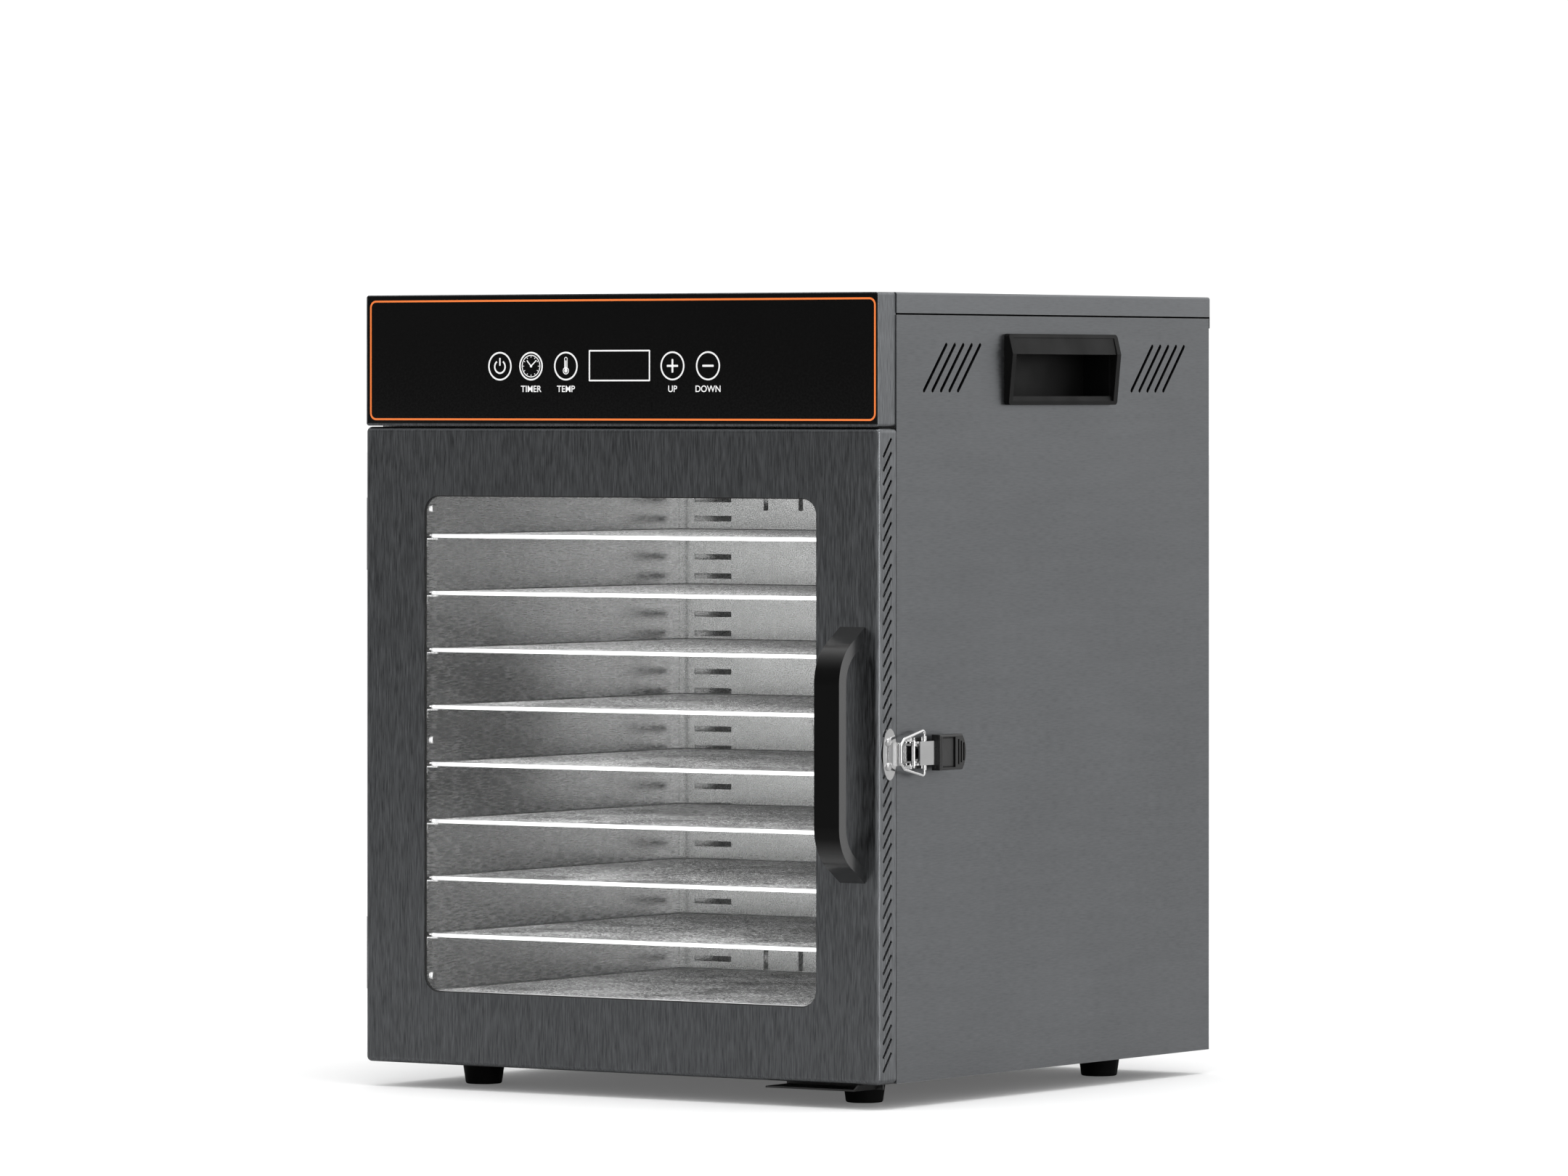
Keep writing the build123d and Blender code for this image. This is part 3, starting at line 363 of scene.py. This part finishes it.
def handle_finish():
    """Black lacquer whose clear coat shows on the faces turned well aside."""
    material = moulded_plastic("handle_lacquer", grey(0.0022), (0.30, 0.38), bump=0.02, wear=0.1,
                               specular=0.16)
    tree = material.node_tree
    shader = next(node for node in tree.nodes if node.type == "BSDF_PRINCIPLED")
    facing = add_node(tree, "ShaderNodeLayerWeight", {"Blend": 0.5}).outputs["Facing"]
    tree.links.new(map_range(tree, facing, 0.20, 0.45, 0.0, 1.0), shader.inputs["Coat Weight"])
    shader.inputs["Coat Roughness"].default_value = 0.2
    shader.inputs["Coat IOR"].default_value = 2.0
    return material


def front_sheet(name):
    """The sheet of the door and the fascia, which are cut from the same brushed stock."""
    return brushed_steel(name, 0.105, 0.235, UPRIGHT_GRAIN, rough=(0.28, 0.40), contrast=2.4)


FINISHES = {
    "door_steel": front_sheet("door_steel"),
    "side_steel": brushed_steel("side_steel", 0.138, 0.182, LEVEL_GRAIN, rough=(0.32, 0.44),
                                contrast=2.2),
    "cover_steel": brushed_steel("cover_steel", 0.160, 0.205, LEVEL_GRAIN, rough=(0.30, 0.42),
                                 contrast=2.2),
    "fascia_steel": front_sheet("fascia_steel"),
    "chamber_steel": chamber_finish(),
    "tray_steel": mesh_finish(),
    "screw_steel": plain_metal("screw_steel", grey(0.62), (0.16, 0.3)),
    "hinge_steel": brushed_steel("hinge_steel", 0.34, 0.48, UPRIGHT_GRAIN, rough=(0.22, 0.34)),
    "heater_steel": plain_metal("heater_steel", (0.20, 0.18, 0.16, 1), (0.35, 0.55), patch=0.012),
    "motor_steel": plain_metal("motor_steel", grey(0.42), (0.3, 0.45)),
    "black_metal": plain_metal("black_metal", grey(0.012), (0.32, 0.48), metallic=0.0, coat=0.2),
    "latch_chrome": plain_metal("latch_chrome", grey(0.78), (0.05, 0.14), wear=0.1, bump=0.02),
    "fan_aluminium": plain_metal("fan_aluminium", grey(0.56), (0.28, 0.42)),
    "panel_glass": panel_glass_finish(),
    "door_glass": door_glass_finish(),
    "display": plain_metal("display", grey(0.01), (0.08, 0.14), metallic=0.0),
    "circuit_board": plain_metal("circuit_board", (0.02, 0.10, 0.035, 1), (0.35, 0.5),
                                 metallic=0.0, coat=0.3),
    "black_plastic": moulded_plastic("black_plastic", grey(0.003), (0.42, 0.55), bump=0.05,
                                     specular=0.14),
    "grip_plastic": moulded_plastic("grip_plastic", grey(0.004), (0.26, 0.36), bump=0.05),
    "wire_cover": moulded_plastic("wire_cover", (0.05, 0.05, 0.055, 1), (0.4, 0.5)),
    "foot_rubber": moulded_plastic("foot_rubber", grey(0.004), (0.55, 0.7), bump=0.2,
                                   specular=0.15),
    "seal_rubber": moulded_plastic("seal_rubber", grey(0.05), (0.5, 0.65), specular=0.3),
}


def dress_nodes():
    """Every CAD node takes its slot's finish, and the door's handle its own lacquer."""
    own_finish = {"door_handle": handle_finish()}
    for part in frame["record"]["subparts"]:
        node = frame["nodes"][part["node"]]
        node.data.materials.clear()
        node.data.materials.append(None)
        slot_finish = FINISHES[part["material_slot"]]
        node.material_slots[0].material = own_finish.get(part["node"], slot_finish)


# ---- shaping helpers ---------------------------------------------------------------------
def deselect():
    if bpy.context.object and bpy.context.object.mode != "OBJECT":
        bpy.ops.object.mode_set(mode="OBJECT")
    bpy.ops.object.select_all(action="DESELECT")


def only(piece):
    deselect()
    piece.select_set(True)
    bpy.context.view_layer.objects.active = piece


def settle(piece):
    """The piece's place goes into its mesh."""
    only(piece)
    bpy.ops.object.transform_apply(location=True, rotation=True, scale=True)


def apply_modifier(piece, kind, **settings):
    modifier = piece.modifiers.new(kind.lower(), kind)
    for name, value in settings.items():
        setattr(modifier, name, value)
    only(piece)
    bpy.ops.object.modifier_apply(modifier=modifier.name)


def join(pieces):
    deselect()
    for piece in pieces:
        piece.select_set(True)
    bpy.context.view_layer.objects.active = pieces[0]
    if len(pieces) > 1:
        bpy.ops.object.join()
    return pieces[0]


def edit(piece):
    only(piece)
    bpy.ops.object.mode_set(mode="EDIT")
    bpy.ops.mesh.select_all(action="SELECT")


def done():
    bpy.ops.object.mode_set(mode="OBJECT")


def finish_piece(piece, name, body, material=None, replaced=()):
    """Names a piece, puts it on its body, and gives it a finish unless it has its own."""
    piece.name = name
    piece.data.name = name
    if material:
        piece.data.materials.clear()
        piece.data.materials.append(material)
    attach(piece, body)
    if replaced:
        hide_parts(*replaced)
    return piece


# ---- wire mesh trays ---------------------------------------------------------------------
DIAMOND_WIDTH = 5.0 * MM
DIAMOND_DEPTH = 4.4 * MM
STRAND = 0.50 * MM
STRAND_RISE = 0.22 * MM
RIM = 3.0 * MM
RIM_CORNER = 7.0 * MM


def tray_mesh(low, high):
    """Expanded metal: zigzag strands side by side, touching where they turn."""
    middle_z = (low.z + high.z) / 2 + 0.4 * MM
    left, right = low.x + 1.2 * MM, high.x - 1.2 * MM
    front, back = low.y + 1.4 * MM, high.y - 1.4 * MM
    units = math.ceil((right - left) / DIAMOND_WIDTH) + 1
    start = left - DIAMOND_WIDTH
    deselect()
    bpy.ops.mesh.primitive_circle_add(vertices=3, radius=STRAND, fill_type="NOTHING",
                                      location=(start, front, middle_z),
                                      rotation=(0, math.pi / 2, 0))
    strand = bpy.context.object
    settle(strand)
    edit(strand)
    half = (DIAMOND_WIDTH / 2, DIAMOND_DEPTH / 2, STRAND_RISE)
    bpy.ops.mesh.extrude_region_move(TRANSFORM_OT_translate={"value": half})
    bpy.ops.mesh.extrude_region_move(
        TRANSFORM_OT_translate={"value": (half[0], -half[1], -half[2])})
    done()
    apply_modifier(strand, "ARRAY", count=units + 1, use_relative_offset=False,
                   use_constant_offset=True, constant_offset_displace=(DIAMOND_WIDTH, 0, 0),
                   use_merge_vertices=True, merge_threshold=0.00002)
    deselect()
    strand.select_set(True)
    bpy.context.view_layer.objects.active = strand
    bpy.ops.object.duplicate(linked=False)
    second = bpy.context.object
    edit(second)
    bpy.ops.transform.translate(value=(-DIAMOND_WIDTH / 2, DIAMOND_DEPTH / 2, 0))
    done()
    pair = join([strand, second])
    rows = int((back - front) / DIAMOND_DEPTH)
    apply_modifier(pair, "ARRAY", count=rows, use_relative_offset=False, use_constant_offset=True,
                   constant_offset_displace=(0, DIAMOND_DEPTH, 0))
    for place, normal in ((left, (-1, 0, 0)), (right, (1, 0, 0))):
        edit(pair)
        bpy.ops.mesh.bisect(plane_co=(place, 0, 0), plane_no=normal, use_fill=True,
                            clear_outer=True)
        done()
    return pair


def tray_rim(low, high):
    """The square rim, soft on its edges."""
    centre = (low + high) / 2
    deselect()
    bpy.ops.mesh.primitive_plane_add(size=1, location=centre)
    rim = bpy.context.object
    rim.scale = (high.x - low.x, high.y - low.y, 1)
    settle(rim)
    edit(rim)
    bpy.ops.mesh.bevel(offset=RIM_CORNER, segments=6, affect="VERTICES")
    bpy.ops.mesh.select_all(action="SELECT")
    bpy.ops.mesh.inset(thickness=RIM)
    bpy.ops.mesh.delete(type="FACE")
    done()
    apply_modifier(rim, "SOLIDIFY", thickness=high.z - low.z, offset=0.0)
    apply_modifier(rim, "BEVEL", width=0.7 * MM, segments=2, limit_method="ANGLE",
                   angle_limit=math.radians(50))
    only(rim)
    bpy.ops.object.shade_smooth_by_angle(angle=math.radians(40))
    return rim


def make_trays():
    names = sorted(n for n in frame["nodes"] if n.startswith("tray_") and n[5:].isdigit())
    low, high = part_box(names[0])
    rim, mesh = tray_rim(low, high), tray_mesh(low, high)
    rim.data.materials.append(plain_metal("rim_steel", grey(0.86), (0.26, 0.36), wear=0.1))
    mesh.data.materials.append(FINISHES["tray_steel"])
    first = join([rim, mesh])
    copies = [first]
    for name in names[1:]:
        copy = first.copy()
        copy.data = first.data.copy()
        bpy.context.scene.collection.objects.link(copy)
        edit(copy)
        bpy.ops.transform.translate(value=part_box(name)[0] - low)
        done()
        copies.append(copy)
    for name, piece in zip(names, copies):
        finish_piece(piece, "mesh_" + name, name, replaced=[name])


# ---- printed controls --------------------------------------------------------------------
INK = 0.06 * MM


def thicken(piece):
    """A flat print facing the front gets the thickness of its ink."""
    apply_modifier(piece, "SOLIDIFY", thickness=INK, offset=1.0)
    edit(piece)
    bpy.ops.mesh.normals_make_consistent(inside=False)
    done()
    return piece


def flat_plate(centre, width, height, corner):
    bpy.ops.mesh.primitive_plane_add(size=1, location=centre, rotation=(math.pi / 2, 0, 0))
    plate = bpy.context.object
    plate.scale = (width, height, 1)
    settle(plate)
    edit(plate)
    bpy.ops.mesh.bevel(offset=corner, segments=8, affect="VERTICES")
    done()
    return plate


def outline(centre, width, height, corner, line):
    deselect()
    plate = flat_plate(centre, width, height, corner)
    edit(plate)
    bpy.ops.mesh.inset(thickness=line)
    bpy.ops.mesh.delete(type="FACE")
    done()
    return thicken(plate)


def bar(centre, width, height, turn=0.0):
    deselect()
    plate = flat_plate(centre, width, height, min(width, height) * 0.3)
    if turn:
        edit(plate)
        bpy.ops.transform.rotate(value=turn, orient_axis="Y", center_override=centre)
        done()
    return thicken(plate)


def ring(centre, radius, line, gap=0.0):
    """A printed ring, with an opening at its top when gap is more than nothing."""
    deselect()
    bpy.ops.mesh.primitive_circle_add(vertices=60, radius=radius - line, fill_type="NOTHING",
                                      location=centre, rotation=(math.pi / 2, 0, 0))
    loop = bpy.context.object
    settle(loop)
    if gap:
        edit(loop)
        bpy.ops.mesh.select_all(action="DESELECT")
        done()
        for vertex in loop.data.vertices:
            offset = vertex.co - centre
            vertex.select = abs(math.atan2(offset.x, offset.z)) < gap / 2
        only(loop)
        bpy.ops.object.mode_set(mode="EDIT")
        bpy.ops.mesh.delete(type="VERT")
        done()
    edit(loop)
    bpy.ops.mesh.extrude_edges_move()
    grow = radius / (radius - line)
    bpy.ops.transform.resize(value=(grow, 1, grow), center_override=centre)
    bpy.ops.mesh.select_all(action="SELECT")
    bpy.ops.mesh.normals_make_consistent(inside=False)
    done()
    facing = sum(p.normal.y for p in loop.data.polygons)
    if facing > 0:
        edit(loop)
        bpy.ops.mesh.flip_normals()
        done()
    return thicken(loop)


def disc(centre, radius):
    deselect()
    bpy.ops.mesh.primitive_circle_add(vertices=24, radius=radius, fill_type="NGON",
                                      location=centre, rotation=(math.pi / 2, 0, 0))
    plate = bpy.context.object
    settle(plate)
    return thicken(plate)


def label(text, centre, height):
    deselect()
    bpy.ops.object.text_add(location=centre, rotation=(math.pi / 2, 0, 0))
    words = bpy.context.object
    words.data.body = text
    words.data.size = height * 1.42
    words.data.align_x = "CENTER"
    words.data.align_y = "CENTER"
    words.data.offset = 0.00006
    words.data.extrude = INK / 2
    only(words)
    bpy.ops.object.convert(target="MESH")
    words = bpy.context.object
    settle(words)
    edit(words)
    bpy.ops.mesh.remove_doubles(threshold=0.000002)
    bpy.ops.mesh.normals_make_consistent(inside=False)
    done()
    return words


def make_controls():
    low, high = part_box("control_glass")
    middle = (low.x + high.x) / 2
    base_z = (low.z + high.z) / 2
    face = low.y - 0.01 * MM

    def at(x, z):
        return Vector((middle + x * MM, face, base_z + z * MM))

    border = outline(at(0.35, -0.4), (high.x - low.x) - 3.3 * MM, (high.z - low.z) - 5.0 * MM,
                     5.0 * MM, 1.3 * MM)
    finish_piece(border, "panel_border", "cabinet",
                 glowing_print_finish("border_ink_glow", (0.86, 0.20, 0.035, 1)))

    icon_z, label_z, radius, line = -4.6, -20.4, 9.8 * MM, 1.1 * MM
    power, timer, temperature, more, less = -98.4, -72.3, -43.2, 44.9, 74.0
    marks = [ring(at(x, icon_z), radius, line) for x in (power, timer, temperature, more, less)]
    marks += [ring(at(power, icon_z - 0.4), 4.9 * MM, line, gap=math.radians(62)),
              bar(at(power, icon_z + 3.0), 1.1 * MM, 5.4 * MM)]
    marks += [ring(at(timer, icon_z), 7.7 * MM, 0.6 * MM),
              bar(at(timer - 1.7, icon_z + 1.9), 0.8 * MM, 5.4 * MM, math.radians(42)),
              bar(at(timer + 2.2, icon_z + 2.0), 0.8 * MM, 6.2 * MM, math.radians(-48)),
              disc(at(timer, icon_z), 0.9 * MM)]
    for hour in range(12):
        angle = math.radians(30 * hour)
        marks.append(bar(at(timer + 6.3 * math.sin(angle), icon_z + 6.3 * math.cos(angle)),
                         0.45 * MM, 1.1 * MM, -angle))
    marks += [ring(at(temperature, icon_z - 3.2), 2.5 * MM, 0.6 * MM),
              disc(at(temperature, icon_z - 3.2), 1.3 * MM),
              outline(at(temperature, icon_z + 1.9), 2.6 * MM, 8.6 * MM, 1.2 * MM, 0.5 * MM),
              bar(at(temperature, icon_z + 0.6), 0.9 * MM, 6.4 * MM)]
    marks += [bar(at(more, icon_z), 9.2 * MM, 1.4 * MM), bar(at(more, icon_z), 1.4 * MM, 9.2 * MM),
              bar(at(less, icon_z), 9.2 * MM, 1.4 * MM)]
    marks.append(outline(at(1.2, -4.35), 50.6 * MM, 21.3 * MM, 0.6 * MM, 1.0 * MM))
    for x, text in ((timer, "TIMER"), (temperature, "TEMP"), (more, "UP"), (less, "DOWN")):
        marks.append(label(text, at(x, label_z), 4.4 * MM))
    finish_piece(join(marks), "panel_marks", "cabinet",
                 glowing_print_finish("mark_ink_glow", grey(0.88)))


# ---- latch grip --------------------------------------------------------------------------
def make_grip_pad():
    """A paler matt pad in the recess of the latch grip."""
    low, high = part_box("latch_grip")
    lift = high.x - 1.6 * MM
    front, back = low.y + 3.1 * MM, low.y + 18.9 * MM
    middle = Vector((lift, (front + back) / 2, (low.z + high.z) / 2))
    deselect()
    bpy.ops.mesh.primitive_plane_add(size=1, location=middle, rotation=(0, math.pi / 2, 0))
    pad = bpy.context.object
    pad.scale = (20.2 * MM, back - front, 1)
    settle(pad)
    edit(pad)
    bpy.ops.mesh.bevel(offset=0.8 * MM, segments=4, affect="VERTICES")
    bpy.ops.mesh.select_all(action="SELECT")
    bpy.ops.mesh.inset(thickness=0.9 * MM, depth=0.35 * MM)
    done()
    apply_modifier(pad, "SOLIDIFY", thickness=0.3 * MM, offset=-1.0)
    pad_finish = moulded_plastic("grip_pad_plastic", grey(0.03), (0.5, 0.62), bump=0.1)
    finish_piece(pad, "latch_grip_pad", "latch_lever", pad_finish)


# ---- floor, lights and world -------------------------------------------------------------
FLOOR_SIZE = 120


def make_floor():
    deselect()
    bpy.ops.mesh.primitive_plane_add(size=FLOOR_SIZE, location=(0, 0, 0))
    floor = bpy.context.object
    floor.name = "studio_floor"
    material, tree, shader, position = new_material("studio_floor", Roughness=0.9,
                                                    Specular_IOR_Level=0.1)
    # Painted shade on the floor: for all rays but camera rays it is darker towards the front left,
    # so the steel shows a darker painted reflection there; to the camera it is an even pale grey
    # with a faint even glow.
    rays = add_node(tree, "ShaderNodeLightPath")
    along = add_node(tree, "ShaderNodeVectorMath", {0: position, 1: BRIGHT_SIDE},
                     operation="DOT_PRODUCT").outputs["Value"]
    painted_shade_floor = mix_colour(tree, map_range(tree, along, -2.2, 0.2, 0.0, 1.0), grey(0.34),
                         grey(0.52))
    tree.links.new(mix_colour(tree, rays.outputs["Is Camera Ray"], painted_shade_floor, grey(0.9)),
                   shader.inputs["Base Color"])
    shader.inputs["Emission Color"].default_value = grey(1.0)
    tree.links.new(math_node(tree, "MULTIPLY", rays.outputs["Is Camera Ray"], 0.12),
                   shader.inputs["Emission Strength"])
    floor.data.materials.append(material)


def area_light(name, place, aim, width, height, radiance):
    """A soft rectangular lamp, turned to its aim and as bright over its face as radiance says."""
    data = bpy.data.lights.new(name, "AREA")
    data.shape = "RECTANGLE"
    data.size, data.size_y = width, height
    data.energy = radiance * math.pi * width * height
    lamp = bpy.data.objects.new(name, data)
    lamp.location = place
    lamp.rotation_euler = (Vector(aim) - Vector(place)).to_track_quat("-Z", "Y").to_euler()
    lamp.visible_camera = False
    bpy.context.scene.collection.objects.link(lamp)
    return lamp


def make_lights():
    area_light("overhead_softbox", (0.4, -0.3, 3.2), (0, 0, 0.2), 2.4, 2.4, 2.6)
    strip = area_light("right_strip", (3.0, -1.45, 1.0), (0, -0.1, 0.3), 0.5, 2.2, 7.0)
    strip.visible_diffuse = False
    low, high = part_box("liner_rear")
    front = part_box("tray_01")[0].y - 16 * MM
    x, z = (low.x + high.x) / 2, (low.z + high.z) / 2
    area_light("chamber_fill", (x, front, z), (x, front + 0.3, z),
               high.x - low.x - 6 * MM, high.z - low.z - 20 * MM, 2.4)


def make_world():
    """An even studio, brighter behind the right side than in front on the left."""
    world = bpy.data.worlds.new("studio")
    bpy.context.scene.world = world
    world.use_nodes = True
    tree = world.node_tree
    tree.nodes.clear()
    direction = add_node(tree, "ShaderNodeTexCoord").outputs["Generated"]
    along = add_node(tree, "ShaderNodeVectorMath", {0: direction, 1: BRIGHT_SIDE},
                     operation="DOT_PRODUCT").outputs["Value"]
    share = math_node(tree, "POWER", map_range(tree, along, -1.0, 1.0, 0.0, 1.0), 0.6)
    level = map_range(tree, share, 0.0, 1.0, 0.10, 1.25)
    rays = add_node(tree, "ShaderNodeLightPath")
    glossy = add_node(tree, "ShaderNodeCombineColor", {0: level, 1: level, 2: level}).outputs[0]
    colour = mix_colour(tree, rays.outputs["Is Diffuse Ray"], glossy, grey(1.0))
    shown = mix_colour(tree, rays.outputs["Is Camera Ray"], colour, (1.2, 1.2, 1.2, 1))
    back = add_node(tree, "ShaderNodeBackground", {"Color": shown, "Strength": 1.0})
    output = tree.nodes.new("ShaderNodeOutputWorld")
    tree.links.new(back.outputs[0], output.inputs[0])


scene = bpy.context.scene
scene.view_settings.view_transform = "Standard"
scene.view_settings.look = "None"
place_camera()
dress_nodes()
make_trays()
make_controls()
make_grip_pad()
make_floor()
make_lights()
make_world()
